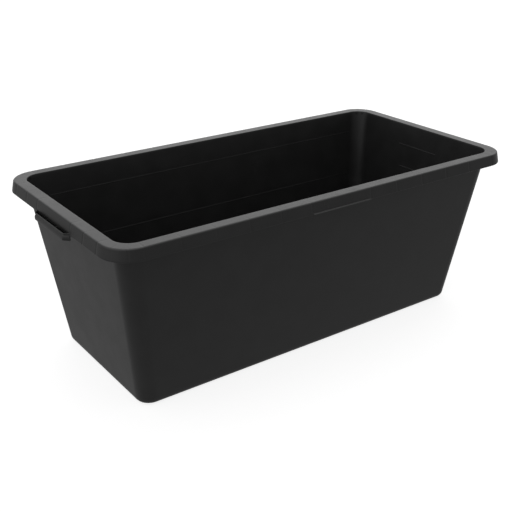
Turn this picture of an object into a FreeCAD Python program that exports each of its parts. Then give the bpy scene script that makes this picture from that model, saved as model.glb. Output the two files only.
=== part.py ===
"""Mortar mixing tub: an open rectangular moulding with drafted walls, a hollow turned-down rim
stiffened by ribs, a grip channel on each end and a grip ledge on each long side.

Millimetres. +X runs along the tub, +Y across it and +Z up. The origin is the middle of the
underside of the floor. Every piece of a side is made in that side's own frame, where +X points
outward and +Y runs along the side, and is then turned into place.
"""
import FreeCAD, Part
import os
from math import cos, pi, radians, sin, sqrt, tan
from FreeCAD import Vector

# Tub
RIM_LENGTH = 774.0          # over the top edge of the rim, along X
RIM_WIDTH = 387.2           # over the top edge of the rim, along Y
HEIGHT = 291.0              # underside of the floor to the top of the rim
WALL = 2.8                  # thickness of floor, walls, flange and skirt
DRAFT = radians(7.77)       # lean of every wall
CORNER_BASE = 24.6          # outer radius of an upright corner at the floor
CORNER_TOP = 30.3           # the same at the rim
BASE_EDGE = 11.3            # outer rounding between floor and wall

# Rim
RIM_BAND = 20.4             # inner edge to outer edge of the rim, seen from above
RIM_EDGE = 4.4              # rounding between the rim's top and its skirt
RIM_CORNER = 43.7           # outer corner radius of the rim in plan
CORNER_TAIL = 2.0           # straight length left on each rim corner piece
SKIRT_DROP = 18.4           # rim top to the foot of the skirt
SKIRT_FLARE = 3.2           # how far the skirt's foot stands outside its top edge

# Ribs under the rim
RIB = 1.8                   # rib thickness
RIB_DEPTH = 14.5            # rim top to the lower edge of a rib
LONG_RIB_PITCH = 56.7       # spacing along the long sides
END_RIB_PITCH = 41.5        # spacing along the ends
CORNER_RIB_DEG = (30.0, 60.0)

# End grip: a trough hung on the foot of the skirt
GRIP_HALF = 56.0            # half length where it meets the skirt
GRIP_FLARE = 2.0            # clear skirt between it and the next rib
GRIP_SPLAY = 6.0            # how much shorter each half is at the outer wall
GRIP_OUT = 6.2              # skirt foot to the outside of the lip
GRIP_BAND = 1.2             # how far the gripping band bulges outside the lip
GRIP_WALL = 1.4             # thickness of its outer wall and floor
GRIP_END = 2.4              # thickness of its end walls, along the side
GRIP_TOP = 16.2             # rim top to the top of the lip
GRIP_END_TOP = 14.0         # rim top to the top of an end wall, at the skirt
GRIP_BOTTOM = 27.5          # rim top to the underside
GRIP_RIB_AT = 18.0          # middle of the grip to a cross rib
GRIP_RIB = 1.5              # cross rib thickness
GRIP_RIB_TOP = 17.2         # rim top to a cross rib's top, at the outer wall

# Grip ledge on the long sides
LEDGE_HALF = 58.5
LEDGE_OUT = 2.4
LEDGE_EDGE = 1.5            # thickness of its outer edge
LEDGE_ROOT = 2.3            # thickness where it leaves the skirt

# Raised marks inside
MARK_OUT = 0.6              # how far a filling mark stands off an end wall
MARK_HEIGHT = 1.4
END_MARKS = ((39.5, 48.0), (82.0, 39.0))      # depth below the rim, half length
LINE_OUT = 0.4              # how far a level line stands off a long wall
LINE_HEIGHT = 1.0
LONG_LINES = (39.5, 123.0)                    # depths below the rim

SIDES = {"right": 0.0, "rear": 90.0, "left": 180.0, "front": 270.0}
CORNERS = {"rear_right": (1, 1), "rear_left": (-1, 1), "front_left": (-1, -1), "front_right": (1, -1)}

FLAT_WALL = WALL / cos(DRAFT)                 # a wall's thickness measured level
SEAM = BASE_EDGE                              # height where the base edge hands over to the wall
WALL_TOP = HEIGHT - WALL                      # the walls stop under the flange


def is_end(side):
    """True for the two short sides."""
    return side in ("left", "right")


def reach(side):
    """Distance from the middle of the tub to the rim's top edge on a side."""
    return (RIM_LENGTH if is_end(side) else RIM_WIDTH) / 2


def outer(side, z):
    """Distance from the middle of the tub to the outside of a side's wall at height z."""
    return reach(side) - RIM_BAND + FLAT_WALL - (HEIGHT - z) * tan(DRAFT)


def inner(side, z):
    """The same for the inside of the wall."""
    return outer(side, z) - FLAT_WALL


def corner_radius(z):
    """Outer radius of the upright corners at height z."""
    return CORNER_BASE + (CORNER_TOP - CORNER_BASE) * z / HEIGHT


def beside(side):
    """A side next to the given one, whose wall ends the given side's run."""
    return "front" if is_end(side) else "right"


def run(side, z):
    """Half length of a side's flat wall at height z."""
    return outer(beside(side), z) - corner_radius(z)


def rim_run(side):
    """Half length of a side's straight rim pieces."""
    corner_start = reach(beside(side)) - RIM_CORNER
    return min(corner_start, run(side, WALL_TOP)) - CORNER_TAIL


def skirt_face(side, depth):
    """Outside of the skirt at a depth below the rim top."""
    return reach(side) + SKIRT_FLARE * (depth - RIM_EDGE) / (SKIRT_DROP - RIM_EDGE)


def base_shift():
    """How far the flat floor's edge lies inside the wall's outside at the seam."""
    tangent_height = BASE_EDGE * (1 - sin(DRAFT))
    return (SEAM - tangent_height) * tan(DRAFT) + BASE_EDGE * cos(DRAFT)


def solid_of(faces):
    """A closed solid from its faces, right side out."""
    solid = Part.Solid(Part.Shell(faces))
    if solid.Volume < 0:
        solid.reverse()
    return solid


def polygon(points):
    """A flat face through the points."""
    return Part.Face(Part.makePolygon(list(points) + [points[0]]))


def block(first, second):
    """A solid between two matching polygons, joined by flat sides."""
    faces = [polygon(first), polygon(second)]
    for i in range(len(first)):
        j = (i + 1) % len(first)
        faces.append(polygon([first[i], first[j], second[j], second[i]]))
    return solid_of(faces)


def bar(profile, low, high):
    """A profile of (x, z) points carried along Y from low(x) to high(x)."""
    return block([Vector(x, low(x), z) for x, z in profile],
                 [Vector(x, high(x), z) for x, z in profile])


def even_bar(profile, half):
    """A profile carried along Y from -half to half."""
    return bar(profile, lambda x: -half, lambda x: half)


def cylinder_arc(centre, radius, start, end):
    """A level arc about a centre, by angles in degrees."""
    at = [centre + Vector(radius * cos(radians(a)), radius * sin(radians(a)), 0)
          for a in (start, (start + end) / 2, end)]
    return Part.Arc(*at).toShape()


def rounded_outline(half_x, half_y, radius, z):
    """A level rectangle with rounded corners, as a wire."""
    centres = [(1, 1, 0), (-1, 1, 90), (-1, -1, 180), (1, -1, 270)]
    arcs = [cylinder_arc(Vector(sx * (half_x - radius), sy * (half_y - radius), z), radius, a, a + 90)
            for sx, sy, a in centres]
    edges = []
    for i, arc in enumerate(arcs):
        following = arcs[(i + 1) % 4]
        edges.append(arc)
        edges.append(Part.LineSegment(arc.Vertexes[-1].Point, following.Vertexes[0].Point).toShape())
    return Part.Wire(edges)


def tub_body(z_low, z_high, inward=0.0):
    """The solid bounded by the tub's outside, drawn in level by inward, between two heights."""
    wires = [rounded_outline(outer("right", z) - inward, outer("front", z) - inward,
                             corner_radius(z) - inward, z) for z in (z_low, z_high)]
    return Part.makeLoft(wires, True, True)


def floor_panel():
    half_x = outer("right", SEAM) - base_shift()
    half_y = outer("front", SEAM) - base_shift()
    outline = rounded_outline(half_x, half_y, corner_radius(SEAM) - base_shift(), 0)
    return Part.Face(outline).extrude(Vector(0, 0, WALL))


def base_edge_profile(foot):
    """Section of the rounded base edge, with the wall's outside at the seam at x = foot."""
    centre = Vector(foot - base_shift(), 0, BASE_EDGE)

    def around(radius, angle):
        return centre + Vector(radius * cos(angle), 0, -radius * sin(angle))

    outside = [around(BASE_EDGE, a) for a in (DRAFT, (DRAFT + pi / 2) / 2, pi / 2)]
    inside = [around(BASE_EDGE - WALL, a) for a in (pi / 2, (DRAFT + pi / 2) / 2, DRAFT)]
    seam_out = Vector(foot, 0, SEAM)
    seam_in = Vector(foot - FLAT_WALL, 0, SEAM)
    edges = [Part.LineSegment(seam_out, outside[0]).toShape(),
             Part.Arc(*outside).toShape(),
             Part.LineSegment(outside[2], inside[0]).toShape(),
             Part.Arc(*inside).toShape(),
             Part.LineSegment(inside[2], seam_in).toShape(),
             Part.LineSegment(seam_in, seam_out).toShape()]
    return Part.Face(Part.Wire(edges))


def base_edge(side):
    half = run(side, SEAM)
    face = base_edge_profile(outer(side, SEAM))
    face.translate(Vector(0, -half, 0))
    return face.extrude(Vector(0, 2 * half, 0))


def wall(side):
    def level(z):
        half = run(side, z)
        return [Vector(outer(side, z), -half, z), Vector(outer(side, z), half, z),
                Vector(inner(side, z), half, z), Vector(inner(side, z), -half, z)]
    return block(level(SEAM), level(WALL_TOP))


def corner_sector(z):
    """Level section of an upright corner."""
    centre = Vector(outer("right", z) - corner_radius(z), outer("front", z) - corner_radius(z), z)
    outside = cylinder_arc(centre, corner_radius(z), 0, 90)
    inside = cylinder_arc(centre, corner_radius(z) - FLAT_WALL, 90, 0)
    ends = [(outside.Vertexes[-1], inside.Vertexes[0]), (inside.Vertexes[-1], outside.Vertexes[0])]
    joins = [Part.LineSegment(a.Point, b.Point).toShape() for a, b in ends]
    return Part.Wire([outside, joins[0], inside, joins[1]])


def corner():
    """An upright corner with its rounded base, in the +X +Y quarter."""
    upright = Part.makeLoft([corner_sector(SEAM), corner_sector(WALL_TOP)], True, True)
    radius = corner_radius(SEAM)
    axis = Vector(outer("right", SEAM) - radius, outer("front", SEAM) - radius, 0)
    face = base_edge_profile(radius)
    face.translate(axis)
    base = face.revolve(axis, Vector(0, 0, 1), 90)
    return upright.fuse(base)


def flange_ring():
    """The whole flat top of the rim, up to where its outer edge starts to round over."""
    outline = rounded_outline(reach("right") - RIM_EDGE, reach("front") - RIM_EDGE,
                              RIM_CORNER - RIM_EDGE, WALL_TOP)
    plate = Part.Face(outline).extrude(Vector(0, 0, WALL))
    return plate.cut(tub_body(WALL_TOP - WALL, HEIGHT + WALL, FLAT_WALL))


def rim_flange(side):
    half = rim_run(side)
    edge = reach(side) - RIM_EDGE
    return even_bar([(inner(side, WALL_TOP), WALL_TOP), (edge, WALL_TOP),
                     (edge, HEIGHT), (inner(side, HEIGHT), HEIGHT)], half)


def skirt_profile(top_edge):
    """Section of the skirt, with the rim's top edge at x = top_edge."""
    centre = Vector(top_edge - RIM_EDGE, 0, HEIGHT - RIM_EDGE)

    def quarter(radius):
        slope = sqrt(0.5)
        return [centre + Vector(0, 0, radius), centre + Vector(slope, 0, slope) * radius,
                centre + Vector(radius, 0, 0)]

    outside = quarter(RIM_EDGE)
    inside = quarter(RIM_EDGE - WALL)
    foot_out = Vector(top_edge + SKIRT_FLARE, 0, HEIGHT - SKIRT_DROP)
    foot_in = foot_out - Vector(WALL, 0, 0)
    edges = [Part.Arc(*outside).toShape(),
             Part.LineSegment(outside[2], foot_out).toShape(),
             Part.LineSegment(foot_out, foot_in).toShape(),
             Part.LineSegment(foot_in, inside[2]).toShape(),
             Part.Arc(*reversed(inside)).toShape(),
             Part.LineSegment(inside[0], outside[0]).toShape()]
    return Part.Face(Part.Wire(edges))


def skirt_run(side, start, end):
    """A straight stretch of a side's skirt from y = start to y = end."""
    face = skirt_profile(reach(side))
    face.translate(Vector(0, start, 0))
    return face.extrude(Vector(0, end - start, 0))


def rim_skirt(side):
    return skirt_run(side, -rim_run(side), rim_run(side))


def rim_channel():
    """The hollow under the rim, between the skirt and the walls, down to the ribs' lower edge."""
    levels = [(WALL, -RIM_EDGE), (RIM_EDGE, -WALL),
              (RIB_DEPTH, skirt_face("right", RIB_DEPTH) - reach("right") - WALL)]
    wires = [rounded_outline(reach("right") + grow, reach("front") + grow, RIM_CORNER + grow,
                             HEIGHT - depth) for depth, grow in levels]
    return Part.makeLoft(wires, True, True).cut(tub_body(HEIGHT - 2 * RIB_DEPTH, HEIGHT))


def corner_ribs(channel):
    """The radial ribs of the +X +Y corner."""
    centre = Vector(reach("right") - RIM_CORNER, reach("front") - RIM_CORNER, 0)
    ribs = []
    for angle in CORNER_RIB_DEG:
        plate = Part.makeBox(2 * RIM_CORNER, RIB, HEIGHT, Vector(0, -RIB / 2, 0))
        plate.rotate(Vector(), Vector(0, 0, 1), angle)
        plate.translate(centre)
        ribs.append(channel.common(plate))
    return ribs


def rim_corner(ring, channel):
    """A rim corner with its flange, skirt and radial ribs, in the +X +Y quarter."""
    start = Vector(rim_run("front"), rim_run("right"), 0)
    flange = ring.common(Part.makeBox(RIM_LENGTH, RIM_WIDTH, 2 * HEIGHT, start))
    axis = Vector(reach("right") - RIM_CORNER, reach("front") - RIM_CORNER, 0)
    face = skirt_profile(RIM_CORNER)
    face.translate(axis)
    skirt = face.revolve(axis, Vector(0, 0, 1), 90)
    right_tail = skirt_run("right", start.y, axis.y)
    rear_tail = skirt_run("rear", -axis.x, -start.x)
    rear_tail.rotate(Vector(), Vector(0, 0, 1), SIDES["rear"])
    return flange.multiFuse([skirt, right_tail, rear_tail] + corner_ribs(channel)).removeSplitter()


def rib_places(side):
    """Distances of a side's ribs from its middle, from the end of its grip or ledge to the corner."""
    first = (GRIP_HALF + GRIP_FLARE if is_end(side) else LEDGE_HALF) + RIB / 2
    pitch = END_RIB_PITCH if is_end(side) else LONG_RIB_PITCH
    stretch = reach(beside(side)) - RIM_CORNER - first
    return [first + i * pitch for i in range(int(stretch / pitch) + 1)]


def rim_ribs(side, channel):
    """All ribs under a side's rim, as separate solids in that side's own frame."""
    turned = channel.copy()
    turned.rotate(Vector(), Vector(0, 0, 1), -SIDES[side])
    ribs = []
    for place in rib_places(side):
        for y in (-place, place):
            plate = Part.makeBox(RIM_LENGTH, RIB, HEIGHT, Vector(0, y - RIB / 2, 0))
            ribs.extend(turned.common(plate).Solids)
    return Part.makeCompound(ribs)


def grip_half(x):
    """Half length of an end grip at x, outside its slanted end walls."""
    return GRIP_HALF - GRIP_SPLAY * (x - skirt_face("right", SKIRT_DROP)) / GRIP_OUT


def grip_points(pairs):
    """(outward from the skirt foot, depth) pairs as (x, z) points."""
    foot = skirt_face("right", SKIRT_DROP)
    return [(foot + out, HEIGHT - depth) for out, depth in pairs]


def grip_back():
    """Continues the skirt downward behind the trough."""
    return even_bar(grip_points([(-WALL, SKIRT_DROP), (0, SKIRT_DROP), (0, GRIP_BOTTOM),
                                 (-WALL, GRIP_BOTTOM)]), GRIP_HALF)


def grip_floor():
    inside = GRIP_OUT - GRIP_WALL
    profile = grip_points([(0, GRIP_BOTTOM), (inside, GRIP_BOTTOM),
                           (inside, GRIP_BOTTOM - GRIP_WALL), (0, GRIP_BOTTOM - GRIP_WALL)])
    return bar(profile, lambda x: GRIP_END - grip_half(x), lambda x: grip_half(x) - GRIP_END)


def grip_wall():
    """Outer wall: a beaded lip, a set-back neck and the bulging band that the hand holds."""
    inside = GRIP_OUT - GRIP_WALL
    neck = GRIP_OUT - GRIP_WALL / 4
    band = GRIP_OUT + GRIP_BAND
    lip_foot = GRIP_TOP + GRIP_WALL
    band_top = lip_foot + GRIP_WALL
    profile = grip_points([(inside, GRIP_BOTTOM), (GRIP_OUT, GRIP_BOTTOM),
                           (band, GRIP_BOTTOM - GRIP_BAND), (band, band_top + GRIP_BAND),
                           (neck, band_top), (neck, lip_foot), (GRIP_OUT, lip_foot),
                           (GRIP_OUT, GRIP_TOP), (inside, GRIP_TOP)])
    return bar(profile, lambda x: -grip_half(x), grip_half)


def grip_ends():
    """The two slanted end walls, rising to the skirt."""
    inside = GRIP_OUT - GRIP_WALL
    upper = skirt_face("right", GRIP_END_TOP) - skirt_face("right", SKIRT_DROP)
    profile = grip_points([(0, GRIP_BOTTOM), (inside, GRIP_BOTTOM), (inside, GRIP_TOP),
                           (upper, GRIP_END_TOP), (0, SKIRT_DROP)])
    high = bar(profile, lambda x: grip_half(x) - GRIP_END, grip_half)
    low = bar(profile, lambda x: -grip_half(x), lambda x: GRIP_END - grip_half(x))
    return Part.makeCompound([high, low])


def grip_ribs():
    """The two cross ribs in the trough."""
    inside = GRIP_OUT - GRIP_WALL
    profile = grip_points([(0, GRIP_BOTTOM - GRIP_WALL), (inside, GRIP_BOTTOM - GRIP_WALL),
                           (inside, GRIP_RIB_TOP), (0, SKIRT_DROP)])
    ribs = []
    for y in (-GRIP_RIB_AT, GRIP_RIB_AT):
        rib = even_bar(profile, GRIP_RIB / 2)
        rib.translate(Vector(0, y, 0))
        ribs.append(rib)
    return Part.makeCompound(ribs)


def ledge(side):
    """Thin lip along the foot of a long side's skirt."""
    root = SKIRT_DROP - LEDGE_ROOT
    tip = skirt_face(side, SKIRT_DROP) + LEDGE_OUT
    return even_bar([(skirt_face(side, root), HEIGHT - root),
                     (tip, HEIGHT - SKIRT_DROP + LEDGE_EDGE),
                     (tip, HEIGHT - SKIRT_DROP),
                     (skirt_face(side, SKIRT_DROP), HEIGHT - SKIRT_DROP)], LEDGE_HALF)


def raised_bar(side, depth, half, height, out):
    """A bar standing off the inside of a wall, centred at a depth below the rim."""
    low = HEIGHT - depth - height / 2
    high = low + height
    return even_bar([(inner(side, low), low), (inner(side, high), high),
                     (inner(side, high) - out, high), (inner(side, low) - out, low)], half)


def level_marks(side):
    """Short filling marks on an end wall."""
    return Part.makeCompound([raised_bar(side, depth, half, MARK_HEIGHT, MARK_OUT)
                              for depth, half in END_MARKS])


def level_lines(side):
    """Level lines along the flat of a long wall."""
    return Part.makeCompound([raised_bar(side, depth, run(side, HEIGHT - depth - LINE_HEIGHT / 2),
                                         LINE_HEIGHT, LINE_OUT) for depth in LONG_LINES])


def side_pieces(side, channel):
    """Every piece of one side, by node name, in the side's own frame."""
    pieces = {"base_edge_" + side: base_edge(side),
              "wall_" + side: wall(side),
              "rim_flange_" + side: rim_flange(side),
              "rim_skirt_" + side: rim_skirt(side),
              "rim_ribs_" + side: rim_ribs(side, channel)}
    if is_end(side):
        grip = "grip_" + side
        pieces.update({grip + "_back": grip_back(), grip + "_floor": grip_floor(),
                       grip + "_wall": grip_wall(), grip + "_ends": grip_ends(),
                       grip + "_ribs": grip_ribs(), "level_marks_" + side: level_marks(side)})
    else:
        pieces.update({"ledge_" + side: ledge(side), "level_lines_" + side: level_lines(side)})
    return pieces


def in_quarter(shape, sign_x, sign_y):
    """A piece of the +X +Y quarter carried to another quarter by mirroring."""
    for sign, normal in ((sign_x, Vector(1, 0, 0)), (sign_y, Vector(0, 1, 0))):
        if sign < 0:
            shape = shape.mirror(Vector(), normal)
    return shape


def all_pieces():
    """Every node of the tub, by name, in the tub's frame."""
    channel = rim_channel()
    pieces = {"floor_panel": floor_panel()}
    for side, turn in SIDES.items():
        for name, shape in side_pieces(side, channel).items():
            shape.rotate(Vector(), Vector(0, 0, 1), turn)
            pieces[name] = shape
    upright = corner()
    rim = rim_corner(flange_ring(), channel)
    for name, signs in CORNERS.items():
        pieces["corner_" + name] = in_quarter(upright, *signs)
        pieces["rim_corner_" + name] = in_quarter(rim, *signs)
    return pieces


os.makedirs("parts", exist_ok=True)
for node, shape in all_pieces().items():
    shape.exportStep("parts/" + node + ".step")
    print(f"{node:26s} solids {len(shape.Solids):2d}  volume {shape.Volume / 1000:8.2f} cm3")
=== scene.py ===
"""Looks of the mortar mixing tub: the moulding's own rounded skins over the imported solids, in satin
black polyethylene, on a pale studio floor. Metres, in the tub's frame: +X along it, +Z up."""
from math import atan, cos, pi, radians, sin

import bmesh
import bpy
from mathutils import Matrix, Quaternion, Vector


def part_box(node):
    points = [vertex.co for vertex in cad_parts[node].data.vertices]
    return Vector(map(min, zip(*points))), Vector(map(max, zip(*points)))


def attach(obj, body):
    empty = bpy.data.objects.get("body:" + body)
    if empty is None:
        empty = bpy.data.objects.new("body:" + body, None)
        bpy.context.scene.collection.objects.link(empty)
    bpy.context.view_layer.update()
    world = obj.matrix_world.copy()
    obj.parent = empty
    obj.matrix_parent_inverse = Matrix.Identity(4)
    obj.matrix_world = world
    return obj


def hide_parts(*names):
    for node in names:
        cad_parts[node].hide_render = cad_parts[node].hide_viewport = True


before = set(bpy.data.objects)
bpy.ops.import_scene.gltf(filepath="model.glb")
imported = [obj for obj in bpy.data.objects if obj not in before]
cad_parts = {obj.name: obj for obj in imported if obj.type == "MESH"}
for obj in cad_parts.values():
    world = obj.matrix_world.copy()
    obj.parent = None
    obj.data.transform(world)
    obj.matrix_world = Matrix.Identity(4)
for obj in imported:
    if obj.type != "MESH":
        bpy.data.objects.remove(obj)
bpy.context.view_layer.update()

MM = 0.001
UP = Vector((0, 0, 1))

# Moulding sizes that the solids' boxes don't give
RIM_EDGE = 4.4 * MM          # rounding of the solids' rim edge, which sets where their boxes end
TOP_EDGE = 2.9 * MM          # rounding seen between the rim's top and its skirt
RIM_CORNER = 43.7 * MM       # outer corner radius of the rim in plan
INNER_EDGE = 0.8 * MM        # rounding of the rim's inner edge
FOOT_EDGE = 0.9 * MM         # rounding of the skirt's foot
SUPPORT = 1.6 * MM           # flat strip kept beside each rounding, so that flats shade flat
ARC_STEPS = 14               # facets in a quarter turn seen from above
RIB = 1.8 * MM               # thickness of the ribs under the rim
SINK = 0.26 * MM             # how deep the skin sinks over a rib
SINK_HALF = 1.8 * MM         # half width of such a sink mark
SINK_REACH = -16.5 * MM      # how far in from the rim's edge a sink mark runs over the top
SINK_CUTS = (-1.8, -1, -0.3, 0.3, 1, 1.8)    # cuts across a sink mark, in its half widths
SINK_ON_TOP = 0.8            # depth of the same mark on the rim's flat top, as a share
CORNER_RIB_DEG = (30.0, 60.0)
GRIP_LIP_HALF = 50.0 * MM    # half length of a grip's lip, to where its slanted ends start
GRIP_TURN = 3.0 * MM         # rounding in plan between a grip's wall and its ends
GRIP_FLARE = 2.0 * MM        # how far a grip's ends spread and climb where they meet the skirt
GRIP_DRAFT = 0.16            # lean of a grip's ends, narrower below
LEDGE_ROUND = 2.2 * MM       # rounding of a ledge's outer corners in plan
LEDGE_END_DEG = 78.0         # how far round that rounding goes before the ledge is cut off
MARK_EDGE = 0.3 * MM         # eased edges of the marks inside the walls

# The tub's own sizes, from the solids
FLOOR_LOW, FLOOR_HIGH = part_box("floor_panel")
END_WALL_LOW, END_WALL_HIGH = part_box("wall_right")
LONG_WALL_LOW, LONG_WALL_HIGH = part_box("wall_rear")
END_FLANGE_LOW, END_FLANGE_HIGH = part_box("rim_flange_right")
END_SKIRT_LOW, END_SKIRT_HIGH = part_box("rim_skirt_right")
LONG_SKIRT_LOW, LONG_SKIRT_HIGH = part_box("rim_skirt_rear")
WALL = FLOOR_HIGH.z - FLOOR_LOW.z
GRIP_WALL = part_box("grip_right_floor")[1].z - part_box("grip_right_floor")[0].z
HEIGHT = END_FLANGE_HIGH.z
SEAM = END_WALL_LOW.z                        # where the rounded base edge becomes wall
WALL_TOP = END_WALL_HIGH.z
FLAT_WALL = END_WALL_HIGH.x - END_FLANGE_LOW.x
LEAN = (END_FLANGE_LOW.x - END_WALL_LOW.x) / (WALL_TOP - SEAM)
SEAM_HALF = Vector((END_WALL_LOW.x, LONG_WALL_LOW.y)) + Vector((FLAT_WALL, FLAT_WALL))
SEAM_RADIUS = SEAM_HALF.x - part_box("corner_rear_right")[0].x
TOP_RADIUS = END_WALL_HIGH.x - LONG_WALL_HIGH.x
RIM_HALF = Vector((END_SKIRT_LOW.x, LONG_SKIRT_LOW.y)) + Vector((RIM_EDGE, RIM_EDGE))
RIM_BAND = END_FLANGE_HIGH.x + RIM_EDGE - END_FLANGE_LOW.x
FLARE = END_SKIRT_HIGH.x - RIM_HALF.x
FOOT = END_SKIRT_LOW.z


# ---------------------------------------------------------------- meshes

def tub_ring(z, inward=0.0):
    """Half length, half width, corner radius and height of the tub's outside, drawn in by inward."""
    up = z - SEAM
    radius = SEAM_RADIUS + (TOP_RADIUS - SEAM_RADIUS) * up / (WALL_TOP - SEAM)
    return (SEAM_HALF.x + up * LEAN - inward, SEAM_HALF.y + up * LEAN - inward, radius - inward, z)


def rim_ring(inward, z):
    """The same for a ring drawn in from the rim's top edge."""
    return (RIM_HALF.x - inward, RIM_HALF.y - inward, RIM_CORNER - inward, z)


def rounded_loop(bm, half_x, half_y, radius, z):
    """A level rectangle of edges with rounded corners and a short flat strip beside each."""
    place = Matrix.Translation((0, 0, z)) @ Matrix.Diagonal((half_x, half_y, 1, 1))
    corners = bmesh.ops.create_grid(bm, x_segments=1, y_segments=1, size=1, matrix=place)["verts"]
    others = set(bm.faces) - {f for v in corners for f in v.link_faces}
    bmesh.ops.bevel(bm, geom=corners, offset=radius, offset_type="OFFSET", segments=ARC_STEPS,
                    profile=0.5, material=-1, affect="VERTICES")
    face = (set(bm.faces) - others).pop()
    for edge in sorted(face.edges, key=lambda e: -e.calc_length())[:4]:
        far = edge.verts[1]
        other, _ = bmesh.utils.edge_split(edge, edge.verts[0], SUPPORT / edge.calc_length())
        rest = edge if far in edge.verts else other
        bmesh.utils.edge_split(rest, far, SUPPORT / rest.calc_length())
    edges = list(face.edges)
    bmesh.ops.delete(bm, geom=[face], context="FACES_ONLY")
    return edges


def skin_rings(rings, closed):
    """A skin over a row of level rings: a closed tube of them, or capped at its two ends."""
    bm = bmesh.new()
    middle = sum(ring[3] for ring in rings) / len(rings)
    loops = []
    for i, (half_x, half_y, radius, z) in enumerate(rings):
        # the bridge turns over between rings of one height, so every other one stands a hair nearer
        hair = 1e-5 * (i % 2)
        loops.append(rounded_loop(bm, half_x, half_y, radius, z + (hair if z < middle else -hair)))
    pairs = list(zip(loops, loops[1:]))
    if closed:
        pairs.append((loops[-1], loops[0]))
    for first, second in pairs:
        bmesh.ops.bridge_loops(bm, edges=first + second)
    if not closed:
        for loop in (loops[0], loops[-1]):
            bmesh.ops.contextual_create(bm, geom=loop)
    bmesh.ops.remove_doubles(bm, verts=bm.verts, dist=1e-7)
    bmesh.ops.recalc_face_normals(bm, faces=bm.faces)
    return bm


def make_piece(name, bm, material, sharp_deg=40.0):
    """Ends a mesh as a named piece of the tub's one body."""
    mesh = bpy.data.meshes.new(name)
    bm.to_mesh(mesh)
    bm.free()
    mesh.polygons.foreach_set("use_smooth", [True] * len(mesh.polygons))
    mesh.set_sharp_from_angle(angle=radians(sharp_deg))
    mesh.materials.append(material)
    piece = bpy.data.objects.new(name, mesh)
    bpy.context.collection.objects.link(piece)
    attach(piece, "root")
    return piece


def quarter_turn(start, end, steps):
    """Angles from start to end in radians, both included."""
    return [start + (end - start) * i / steps for i in range(steps + 1)]


def tub_rings():
    """Section of the tub's shell, from the underside of the floor up and down again inside."""
    shift = SEAM_HALF.x - FLOOR_HIGH.x
    draft = atan(LEAN)

    def base(radius, angle):
        half_x, half_y, corner, _ = tub_ring(SEAM, shift - radius * cos(angle))
        return (half_x, half_y, corner, SEAM - radius * sin(angle))

    half_x, half_y, corner, _ = tub_ring(SEAM, shift + 2 * SUPPORT)
    rings = [(half_x, half_y, corner, FLOOR_LOW.z)]
    rings += [base(SEAM, a) for a in quarter_turn(pi / 2, draft, 6)]
    rings += [tub_ring(SEAM + SUPPORT), tub_ring(WALL_TOP)]
    rings += [tub_ring(WALL_TOP, FLAT_WALL), tub_ring(SEAM + SUPPORT, FLAT_WALL)]
    rings += [base(SEAM - WALL, a) for a in quarter_turn(draft, pi / 2, 6)]
    rings.append((half_x, half_y, corner, FLOOR_HIGH.z))
    return rings


def skirt_inward(z):
    """How far the skirt's outside lies inside the rim's top edge at height z (below zero: outside)."""
    return -FLARE * (HEIGHT - TOP_EDGE - z) / (HEIGHT - TOP_EDGE - FOOT)


def rim_rings():
    """Section of the rim: inner edge, flat top, outer rounding, skirt, and back under the flange."""
    inner_x, inner_y, inner_r, _ = tub_ring(HEIGHT, FLAT_WALL)
    rings = [tub_ring(WALL_TOP, FLAT_WALL)]
    for a in quarter_turn(0, pi / 2, 4):
        out = INNER_EDGE * (1 - cos(a))
        rings.append((inner_x + out, inner_y + out, inner_r + out, HEIGHT - INNER_EDGE * (1 - sin(a))))
    out = INNER_EDGE + SUPPORT
    rings.append((inner_x + out, inner_y + out, inner_r + out, HEIGHT))
    rings.append(rim_ring(TOP_EDGE + SUPPORT, HEIGHT))
    for a in quarter_turn(0, pi / 2, 6):
        rings.append(rim_ring(TOP_EDGE * (1 - sin(a)), HEIGHT - TOP_EDGE * (1 - cos(a))))
    for z in (HEIGHT - TOP_EDGE - SUPPORT, FOOT + FOOT_EDGE + SUPPORT):
        rings.append(rim_ring(skirt_inward(z), z))
    for a in quarter_turn(0, pi / 2, 3):
        z = FOOT + FOOT_EDGE * (1 - sin(a))
        rings.append(rim_ring(skirt_inward(z) + FOOT_EDGE * (1 - cos(a)), z))
    for a in quarter_turn(0, pi / 2, 2):
        z = FOOT + FOOT_EDGE * (1 - cos(a))
        rings.append(rim_ring(skirt_inward(z) + WALL - FOOT_EDGE * (1 - sin(a)), z))
    hollow = RIM_EDGE - WALL
    for a in quarter_turn(0, pi / 2, 3):
        rings.append(rim_ring(RIM_EDGE - hollow * cos(a), HEIGHT - RIM_EDGE + hollow * sin(a)))
    rings.append(tub_ring(WALL_TOP))
    return rings


def rib_places(side):
    """Where the ribs under one side's rim stand, as distances from the middle of that side."""
    axis = 1 if side in ("left", "right") else 0
    across = sorted(abs(v.co[axis]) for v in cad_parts["rim_ribs_" + side].data.vertices)
    starts = [a for a, before in zip(across, [0.0] + across) if a - before > 4 * RIB]
    return [start + RIB / 2 for start in starts]


def rib_marks():
    """Foot on the rim's edge and outward direction of every rib that shows through the skin."""
    marks = []
    for place in rib_places("front"):
        marks += [(Vector((x, y, 0)), Vector((0, y, 0)).normalized())
                  for x in (-place, place) for y in (-RIM_HALF.y, RIM_HALF.y)]
    for place in rib_places("right"):
        marks += [(Vector((x, y, 0)), Vector((x, 0, 0)).normalized())
                  for x in (-RIM_HALF.x, RIM_HALF.x) for y in (-place, place)]
    return marks + [(centre + outward * RIM_CORNER, outward) for centre, outward in corner_rib_lines()]


def corner_rib_lines():
    """Centre of the rim's corner and outward direction of every rib in the corners."""
    lines = []
    for sx in (-1, 1):
        for sy in (-1, 1):
            centre = Vector((sx * (RIM_HALF.x - RIM_CORNER), sy * (RIM_HALF.y - RIM_CORNER), 0))
            lines += [(centre, Vector((sx * cos(radians(turn)), sy * sin(radians(turn)), 0)))
                      for turn in CORNER_RIB_DEG]
    return lines


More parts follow.
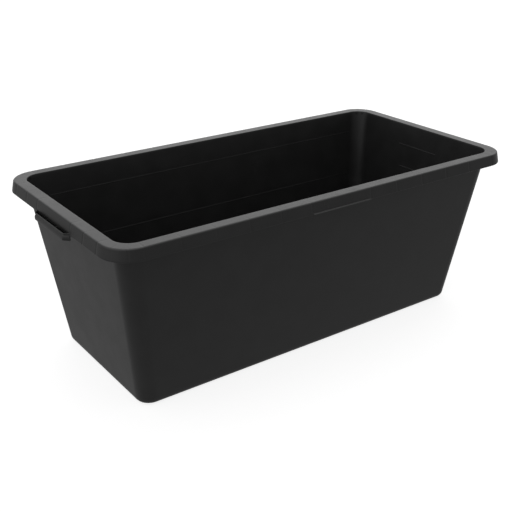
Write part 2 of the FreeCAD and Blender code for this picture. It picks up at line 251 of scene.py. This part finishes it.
def sink_over_ribs(bm):
    """Shallow sink marks in the outer skin of the skirt and the top, where ribs stand behind it."""
    marks = rib_marks()
    for foot, outward in marks:
        along = UP.cross(outward)
        for offset in [SINK_HALF * share for share in SINK_CUTS]:
            near = [f for f in bm.faces if (f.calc_center_median() - foot).dot(outward) > -RIM_BAND]
            geom = set(near) | {e for f in near for e in f.edges} | {v for f in near for v in f.verts}
            bmesh.ops.bisect_plane(bm, geom=list(geom), plane_co=foot + along * offset, plane_no=along)
    bmesh.ops.recalc_face_normals(bm, faces=bm.faces)
    bm.normal_update()
    shifts = {}
    for foot, outward in marks:
        along = UP.cross(outward)
        for v in bm.verts:
            if abs((v.co - foot).dot(along)) > SINK_HALF / 2 or (v.co - foot).dot(outward) < SINK_REACH:
                continue
            if v.normal.z > 0.5 or v.normal.dot(outward) > 0.3:
                shifts[v] = -v.normal * (SINK * (SINK_ON_TOP if v.normal.z > 0.5 else 1.0))
    for v, shift in shifts.items():
        v.co += shift


def rim_mesh():
    bm = skin_rings(rim_rings(), closed=True)
    sink_over_ribs(bm)
    return bm


def outline(bm, points):
    """A face in the x-z plane at y = 0 from (x, z, rounding) points."""
    corners = [(bm.verts.new((x, 0, z)), rounding) for x, z, rounding in points]
    bm.faces.new([v for v, _ in corners])
    for v, rounding in corners:
        if rounding:
            bmesh.ops.bevel(bm, geom=[v], offset=rounding, offset_type="OFFSET", segments=4,
                            profile=0.5, material=-1, affect="VERTICES")
    return bm.faces[:][-1]


def end_of(result):
    return [g for g in result if isinstance(g, bmesh.types.BMFace)][0]


def push(bm, face, way):
    """Drags a face along and returns the face at the new end."""
    result = bmesh.ops.extrude_face_region(bm, geom=[face])["geom"]
    bmesh.ops.translate(bm, verts=[g for g in result if isinstance(g, bmesh.types.BMVert)], vec=way)
    return end_of(result)


def corner_ribs_mesh():
    """The radial ribs in the rim's corners, between wall, flange and skirt."""
    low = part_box("rim_ribs_front")[0].z
    outer_x, _, outer_r, _ = tub_ring(low)
    offset = (outer_x - outer_r) - (RIM_HALF.x - RIM_CORNER)      # between the two corners' centres
    bm = bmesh.new()
    for centre, outward in corner_rib_lines():
        root = outer_r + offset * (abs(outward.x) + abs(outward.y)) - WALL / 2
        tip = RIM_CORNER - WALL / 2
        rib = bmesh.new()
        face = outline(rib, [(root, low, 0), (tip - WALL, low, 0), (tip, low + WALL, 0),
                             (tip, WALL_TOP + WALL / 3, 0), (root, WALL_TOP + WALL / 3, 0)])
        push(rib, face, (0, RIB, 0))
        turn = Matrix.Rotation(outward.xy.angle_signed(Vector((1, 0))), 4, "Z")
        place = Matrix.Translation(centre) @ turn @ Matrix.Translation((0, -RIB / 2, 0))
        bmesh.ops.transform(rib, matrix=place, verts=rib.verts)
        join(bm, rib)
    bmesh.ops.recalc_face_normals(bm, faces=bm.faces)
    return bm


def join(bm, other):
    """Adds another mesh to this one."""
    mesh = bpy.data.meshes.new("part")
    other.to_mesh(mesh)
    other.free()
    bm.from_mesh(mesh)
    bpy.data.meshes.remove(mesh)


def both_ends(bm):
    """Completes a mesh that stops at y = 0 with its mirror image."""
    bmesh.ops.mirror(bm, geom=bm.verts[:] + bm.edges[:] + bm.faces[:], matrix=Matrix(),
                     merge_dist=1e-6, axis="Y")
    bmesh.ops.recalc_face_normals(bm, faces=bm.faces)


def grip_mesh():
    """Outer wall and slanted ends of the right grip: beaded lip, set-back neck, rounded band."""
    foot = RIM_HALF.x + FLARE
    low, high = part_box("grip_right_wall")
    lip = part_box("grip_right_floor")[1].x + GRIP_WALL
    bm = bmesh.new()
    face = outline(bm, [
        (low.x, low.z, 0.3 * MM), (high.x - 0.2 * MM, low.z, 0.7 * MM),
        (high.x, high.z - 9.6 * MM, 1.0 * MM), (high.x, high.z - 5.8 * MM, 1.6 * MM),
        (lip - 0.8 * MM, high.z - 2.8 * MM, 0.3 * MM), (lip - 0.8 * MM, high.z - 2.1 * MM, 0.2 * MM),
        (lip, high.z - 1.5 * MM, 0.3 * MM),
        (lip, high.z, 0.5 * MM), (low.x, high.z, 0.5 * MM)])
    splay = Vector((foot - lip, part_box("grip_right_back")[1].y - GRIP_LIP_HALF, 0)).normalized()
    turn = splay.angle(Vector((0, 1, 0)))
    pivot = Vector((lip - GRIP_TURN, GRIP_LIP_HALF - GRIP_TURN * (1 - cos(turn)) / sin(turn), 0))
    face = push(bm, face, (0, pivot.y, 0))
    geom = [face] + face.edges[:] + face.verts[:]
    face = end_of(bmesh.ops.spin(bm, geom=geom, cent=pivot, axis=UP, angle=turn, steps=6,
                                 use_merge=False, use_duplicate=False)["geom_last"])
    for _ in range(8):
        face = push(bm, face, splay * GRIP_TURN / 2)
    bmesh.ops.delete(bm, geom=[f for f in bm.faces if all(abs(v.co.y) < 1e-7 for v in f.verts)],
                     context="FACES_ONLY")
    middle = (low.z + high.z) / 2
    for v in bm.verts:
        if v.co.y > pivot.y:
            into_end = min((v.co.y - pivot.y) / GRIP_TURN, 1)
            v.co.y += into_end * (v.co.z - middle) * GRIP_DRAFT
            near_skirt = min(max((foot + WALL / 2 - v.co.x) / WALL, 0), 1)
            upper = min(max((v.co.z - middle) / (high.z - middle), 0), 1)
            v.co += Vector((0, 1, 1)) * GRIP_FLARE * near_skirt ** 2 * upper
    cut = bmesh.ops.bisect_plane(bm, geom=bm.verts[:] + bm.edges[:] + bm.faces[:], clear_inner=True,
                                 plane_co=(foot - WALL / 2, 0, 0), plane_no=(1, 0, 0))["geom_cut"]
    bmesh.ops.contextual_create(bm, geom=[g for g in cut if isinstance(g, bmesh.types.BMEdge)])
    both_ends(bm)
    return bm


def ledge_mesh():
    """Thin lip along the foot of the front skirt, as if it stood on the right."""
    low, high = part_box("ledge_front")
    skirt = RIM_HALF.y + FLARE
    tip, root = -low.y, skirt - WALL / 2
    bm = bmesh.new()
    face = outline(bm, [(root, low.z, 0), (tip, low.z, 0.3 * MM), (tip, low.z + 0.9 * MM, 0.4 * MM),
                        (root, high.z, 0)])
    end = push(bm, face, (0, high.x - LEDGE_ROUND, 0))
    turns = quarter_turn(0, radians(LEDGE_END_DEG), 6)
    for before, after in zip(turns, turns[1:]):
        end = push(bm, end, (0, LEDGE_ROUND * (sin(after) - sin(before)), 0))
        for v in end.verts:
            if v.co.x > skirt:
                v.co.x = skirt + (v.co.x - skirt) * cos(after) / cos(before)
    bmesh.ops.delete(bm, geom=[f for f in bm.faces if all(abs(v.co.y) < 1e-7 for v in f.verts)],
                     context="FACES_ONLY")
    both_ends(bm)
    return bm


def raised_bars(name):
    """The filling marks or level lines of one wall, with their edges eased."""
    bm = bmesh.new()
    bm.from_mesh(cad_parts[name].data)
    bmesh.ops.remove_doubles(bm, verts=bm.verts, dist=1e-6)
    bmesh.ops.recalc_face_normals(bm, faces=bm.faces)
    bmesh.ops.dissolve_limit(bm, angle_limit=radians(1), verts=bm.verts, edges=bm.edges)
    inside = [f for f in bm.faces if abs(f.normal.z) < 0.5 and f.normal.dot(f.calc_center_median()) < 0]
    front = max(f.calc_area() / max(e.calc_length() for e in f.edges) for f in inside)
    edges = {e for f in inside for e in f.edges
             if f.calc_area() / max(g.calc_length() for g in f.edges) > 0.9 * front}
    bmesh.ops.bevel(bm, geom=list(edges), offset=MARK_EDGE, offset_type="OFFSET", segments=3,
                    profile=0.5, material=-1, affect="EDGES")
    return bm


def turned(bm, degrees):
    bmesh.ops.rotate(bm, verts=bm.verts, cent=(0, 0, 0), matrix=Matrix.Rotation(radians(degrees), 3, "Z"))
    return bm


# ---------------------------------------------------------------- materials

def new_group(name, inputs, outputs):
    """A shader node group; inputs are (name, kind, default), outputs are (name, kind)."""
    group = bpy.data.node_groups.new(name, "ShaderNodeTree")
    for label, kind, default in inputs:
        socket = group.interface.new_socket(label, in_out="INPUT", socket_type=kind)
        if default is not None:
            socket.default_value = default
    for label, kind in outputs:
        group.interface.new_socket(label, in_out="OUTPUT", socket_type=kind)
    return group, group.nodes.new("NodeGroupInput").outputs, group.nodes.new("NodeGroupOutput").inputs


def node(tree, kind, settings=None, **links):
    """Adds a node; links fill its inputs by name (spaces as _) with sockets or plain values."""
    made = tree.nodes.new("ShaderNode" + kind)
    for key, value in (settings or {}).items():
        setattr(made, key, value)
    for key, value in links.items():
        socket = made.inputs[key.replace("_", " ")]
        if isinstance(value, bpy.types.NodeSocket):
            tree.links.new(value, socket)
        else:
            socket.default_value = value
    return made


def maths(tree, operation, *values):
    made = tree.nodes.new("ShaderNodeMath")
    made.operation = operation
    for socket, value in zip(made.inputs, values):
        if isinstance(value, bpy.types.NodeSocket):
            tree.links.new(value, socket)
        else:
            socket.default_value = value
    return made.outputs[0]


def ramp(tree, value, low, high, start=0.0, end=1.0):
    """Value carried smoothly from low..high to start..end."""
    made = node(tree, "MapRange", {"interpolation_type": "SMOOTHSTEP"}, Value=value, From_Min=low,
                From_Max=high, To_Min=start, To_Max=end)
    return made.outputs["Result"]


def moulded_grain():
    """Height of the fine grain and the slow waves that a mould leaves in a large flat wall."""
    group, given, result = new_group("moulded_grain", [
        ("Vector", "NodeSocketVector", None), ("Grain", "NodeSocketFloat", 1.0),
        ("Waves", "NodeSocketFloat", 1.0)], [("Height", "NodeSocketFloat")])
    grain = node(group, "TexNoise", Vector=given["Vector"], Scale=900.0, Detail=3.0, Roughness=0.6)
    waves = node(group, "TexNoise", Vector=given["Vector"], Scale=9.0, Detail=1.0, Roughness=0.4)
    fine = maths(group, "MULTIPLY", grain.outputs["Fac"], given["Grain"])
    slow = maths(group, "MULTIPLY", waves.outputs["Fac"], given["Waves"])
    group.links.new(maths(group, "MULTIPLY_ADD", slow, 30.0, fine), result["Height"])
    return group


def cloudy_flow():
    """Soft clouds where the melt cooled unevenly."""
    group, given, result = new_group("cloudy_flow", [
        ("Vector", "NodeSocketVector", None), ("Size", "NodeSocketFloat", 28.0)],
        [("Mask", "NodeSocketFloat")])
    clouds = node(group, "TexNoise", Vector=given["Vector"], Scale=given["Size"], Detail=3.0, Roughness=0.55)
    group.links.new(ramp(group, clouds.outputs["Fac"], 0.3, 0.7), result["Mask"])
    return group


def fine_scuffs():
    """Thin short scratches from stacking and handling, lying mostly along the tub."""
    group, given, result = new_group("fine_scuffs", [
        ("Vector", "NodeSocketVector", None), ("Amount", "NodeSocketFloat", 0.2)],
        [("Mask", "NodeSocketFloat")])
    total = None
    for turn, scale in ((0.12, (12, 140, 420)), (1.1, (300, 16, 90))):
        lie = node(group, "Mapping", Vector=given["Vector"], Rotation=(0.1, 0.2, turn), Scale=scale)
        hairs = node(group, "TexNoise", Vector=lie.outputs["Vector"], Scale=1.0, Detail=2.0)
        thin = ramp(group, hairs.outputs["Fac"], 0.66, 0.72)
        total = thin if total is None else maths(group, "MAXIMUM", total, thin)
    patches = node(group, "TexNoise", Vector=given["Vector"], Scale=7.0, Detail=2.0)
    where = ramp(group, patches.outputs["Fac"], 0.5, 0.75)
    amount = maths(group, "MULTIPLY", where, given["Amount"])
    group.links.new(maths(group, "MULTIPLY", total, amount), result["Mask"])
    return group


def settled_dust():
    """A light film on whatever faces up, thicker in patches."""
    group, given, result = new_group("settled_dust", [
        ("Vector", "NodeSocketVector", None), ("Normal", "NodeSocketVector", None),
        ("Amount", "NodeSocketFloat", 0.2)], [("Mask", "NodeSocketFloat")])
    up = node(group, "SeparateXYZ", Vector=given["Normal"])
    facing = ramp(group, up.outputs["Z"], 0.55, 1.0)
    specks = node(group, "TexNoise", Vector=given["Vector"], Scale=160.0, Detail=4.0, Roughness=0.7)
    patches = node(group, "TexNoise", Vector=given["Vector"], Scale=14.0, Detail=2.0)
    film = maths(group, "MULTIPLY", ramp(group, specks.outputs["Fac"], 0.45, 0.75),
                 ramp(group, patches.outputs["Fac"], 0.35, 0.7))
    amount = maths(group, "MULTIPLY", facing, given["Amount"])
    group.links.new(maths(group, "MULTIPLY", film, amount), result["Mask"])
    return group


GROUPS = {make.__name__: make() for make in (moulded_grain, cloudy_flow, fine_scuffs, settled_dust)}


def placed(tree, name, **links):
    made = tree.nodes.new("ShaderNodeGroup")
    made.node_tree = GROUPS[name]
    for key, value in links.items():
        if isinstance(value, bpy.types.NodeSocket):
            tree.links.new(value, made.inputs[key])
        else:
            made.inputs[key].default_value = value
    return made.outputs[0]


def tub_plastic(name, black=0.016, satin=0.32, grain=1.0, waves=1.0, scuffs=0.25, dust=0.2):
    """Satin black polyethylene: clouded, grained, faintly scuffed and dusted."""
    material = bpy.data.materials.new(name)
    material.use_nodes = True
    tree = material.node_tree
    shader = tree.nodes["Principled BSDF"]
    place = tree.nodes.new("ShaderNodeTexCoord")
    here = place.outputs["Object"]
    clouds = placed(tree, "cloudy_flow", Vector=here)
    worn = placed(tree, "fine_scuffs", Vector=here, Amount=scuffs)
    dusty = placed(tree, "settled_dust", Vector=here, Normal=place.outputs["Normal"], Amount=dust)
    light = maths(tree, "MULTIPLY_ADD", clouds, 0.18 * black, 0.91 * black)
    light = maths(tree, "MULTIPLY_ADD", worn, 0.05, light)
    light = maths(tree, "MULTIPLY_ADD", dusty, 0.08, light)
    colour = node(tree, "CombineColor", Red=light, Green=light, Blue=light)
    tree.links.new(colour.outputs["Color"], shader.inputs["Base Color"])
    rough = maths(tree, "MULTIPLY_ADD", clouds, 0.05, satin - 0.025)
    rough = maths(tree, "MULTIPLY_ADD", worn, 0.25, rough)
    tree.links.new(maths(tree, "MULTIPLY_ADD", dusty, 0.4, rough), shader.inputs["Roughness"])
    height = placed(tree, "moulded_grain", Vector=here, Grain=grain, Waves=waves)
    bump = node(tree, "Bump", Strength=0.12, Distance=0.00012, Height=height)
    tree.links.new(bump.outputs["Normal"], shader.inputs["Normal"])
    return material


# ---------------------------------------------------------------- studio

# An even room and three large softboxes: direction in degrees round from +X, height over the
# horizon, how tightly the light is gathered, and strength
ROOM = 0.3
OVERHEAD = (0, 90, 4, 0.9)
BACKDROP = (55, 25, 4, 0.8)
KEY = (180, 30, 4, 0.5)
FLOOR_HALF = 12.0            # half side of the studio floor
FLOOR_GAP = 0.1 * MM         # floor below the tub's underside, so that the two never flicker

CAMERA_PLACE = (-0.8248, -1.1144, 0.7417)
CAMERA_LENS_MM = 60.04
CAMERA_HEADING_DEG = 35.732  # from +Y towards +X
CAMERA_DOWN_DEG = 24.232     # below the horizon
CAMERA_ROLL_DEG = 0.094


def soft_light():
    """Plain studio light as a smooth room all round, so that nothing has a hard edge."""
    world = bpy.data.worlds.new("studio")
    world.use_nodes = True
    tree = world.node_tree
    way = tree.nodes.new("ShaderNodeTexCoord").outputs["Generated"]
    total = ROOM
    for turn, height, tightness, strength in (OVERHEAD, BACKDROP, KEY):
        toward = tree.nodes.new("ShaderNodeVectorMath")
        toward.operation = "DOT_PRODUCT"
        toward.inputs[1].default_value = (cos(radians(height)) * cos(radians(turn)),
                                          cos(radians(height)) * sin(radians(turn)), sin(radians(height)))
        tree.links.new(way, toward.inputs[0])
        patch = maths(tree, "POWER", maths(tree, "MAXIMUM", toward.outputs["Value"], 0.0), tightness)
        total = maths(tree, "MULTIPLY_ADD", patch, strength, total)
    tree.links.new(total, tree.nodes["Background"].inputs["Strength"])
    tree.nodes["Background"].inputs["Color"].default_value = (1, 1, 1, 1)
    bpy.context.scene.world = world


def pale_floor():
    """Plain white floor. Only the camera sees it: what it throws back is in the ROOM light."""
    bm = bmesh.new()
    place = Matrix.Translation((0, 0, -FLOOR_GAP))
    bmesh.ops.create_grid(bm, x_segments=1, y_segments=1, size=FLOOR_HALF, matrix=place)
    mesh = bpy.data.meshes.new("studio_floor")
    bm.to_mesh(mesh)
    bm.free()
    material = bpy.data.materials.new("pale_floor")
    material.use_nodes = True
    shader = material.node_tree.nodes["Principled BSDF"]
    shader.inputs["Base Color"].default_value = (0.33, 0.33, 0.33, 1)
    shader.inputs["Roughness"].default_value = 0.9
    shader.inputs["Emission Color"].default_value = (1, 1, 1, 1)
    shader.inputs["Emission Strength"].default_value = 0.82
    mesh.materials.append(material)
    floor = bpy.data.objects.new("studio_floor", mesh)
    floor.visible_diffuse = False
    floor.visible_glossy = False
    bpy.context.collection.objects.link(floor)


def set_camera():
    scene = bpy.context.scene
    data = bpy.data.cameras.new("camera")
    data.lens = CAMERA_LENS_MM
    data.sensor_width = 36
    camera = bpy.data.objects.new("camera", data)
    camera.rotation_mode = "QUATERNION"
    heading = Quaternion(UP, -radians(CAMERA_HEADING_DEG))
    tilt = Quaternion((1, 0, 0), radians(90 - CAMERA_DOWN_DEG))
    camera.rotation_quaternion = heading @ tilt @ Quaternion(UP, radians(CAMERA_ROLL_DEG))
    camera.location = CAMERA_PLACE
    scene.collection.objects.link(camera)
    scene.camera = camera


def replace_nodes(piece, *starts):
    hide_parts(*[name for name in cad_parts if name.startswith(starts)])


def build_tub():
    walls = tub_plastic("tub_wall_plastic")
    rim_skin = tub_plastic("rim_plastic", waves=0.5, scuffs=0.3, dust=0.3)
    handled = tub_plastic("grip_plastic", satin=0.3, waves=0.0, scuffs=0.6)
    hidden = tub_plastic("rib_plastic", satin=0.36, waves=0.0, scuffs=0.0, dust=0.0)
    # The marks' plastic is painted lighter than the walls' (black 0.024 against 0.016). This is a painted
    # highlight for the light that the raised marks catch.
    raised = tub_plastic("mark_plastic_painted_highlight", black=0.024, grain=0.5, waves=0.0, scuffs=0.4)
    for name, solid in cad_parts.items():
        solid.data.materials.clear()
        if "rim_ribs" in name:
            finish = hidden
        elif "ribs" in name:
            # Ribs other than the rim's take the same lighter mark plastic, with its painted highlight.
            finish = raised
        else:
            finish = handled
        solid.data.materials.append(finish)
    shell = make_piece("tub_shell", skin_rings(tub_rings(), closed=False), walls)
    replace_nodes(shell, "floor_panel", "base_edge_", "wall_", "corner_")
    rim = make_piece("rim", rim_mesh(), rim_skin)
    replace_nodes(rim, "rim_flange_", "rim_skirt_", "rim_corner_")
    make_piece("corner_ribs", corner_ribs_mesh(), hidden)
    for side, degrees in (("right", 0), ("left", 180)):
        grip = make_piece("grip_trough_" + side, turned(grip_mesh(), degrees), handled)
        replace_nodes(grip, f"grip_{side}_wall", f"grip_{side}_ends")
    for side, degrees in (("front", -90), ("rear", 90)):
        ledge = make_piece("ledge_lip_" + side, turned(ledge_mesh(), degrees), handled)
        replace_nodes(ledge, "ledge_" + side)
    for name in [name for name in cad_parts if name.startswith("level_")]:
        # Filling marks take the lighter mark plastic, a painted highlight. Level lines take the walls'
        # plastic.
        finish = raised if "marks" in name else walls
        bars = make_piece("raised_" + name, raised_bars(name), finish)
        replace_nodes(bars, name)


build_tub()
soft_light()
pale_floor()
set_camera()
bpy.context.scene.view_settings.view_transform = "Standard"
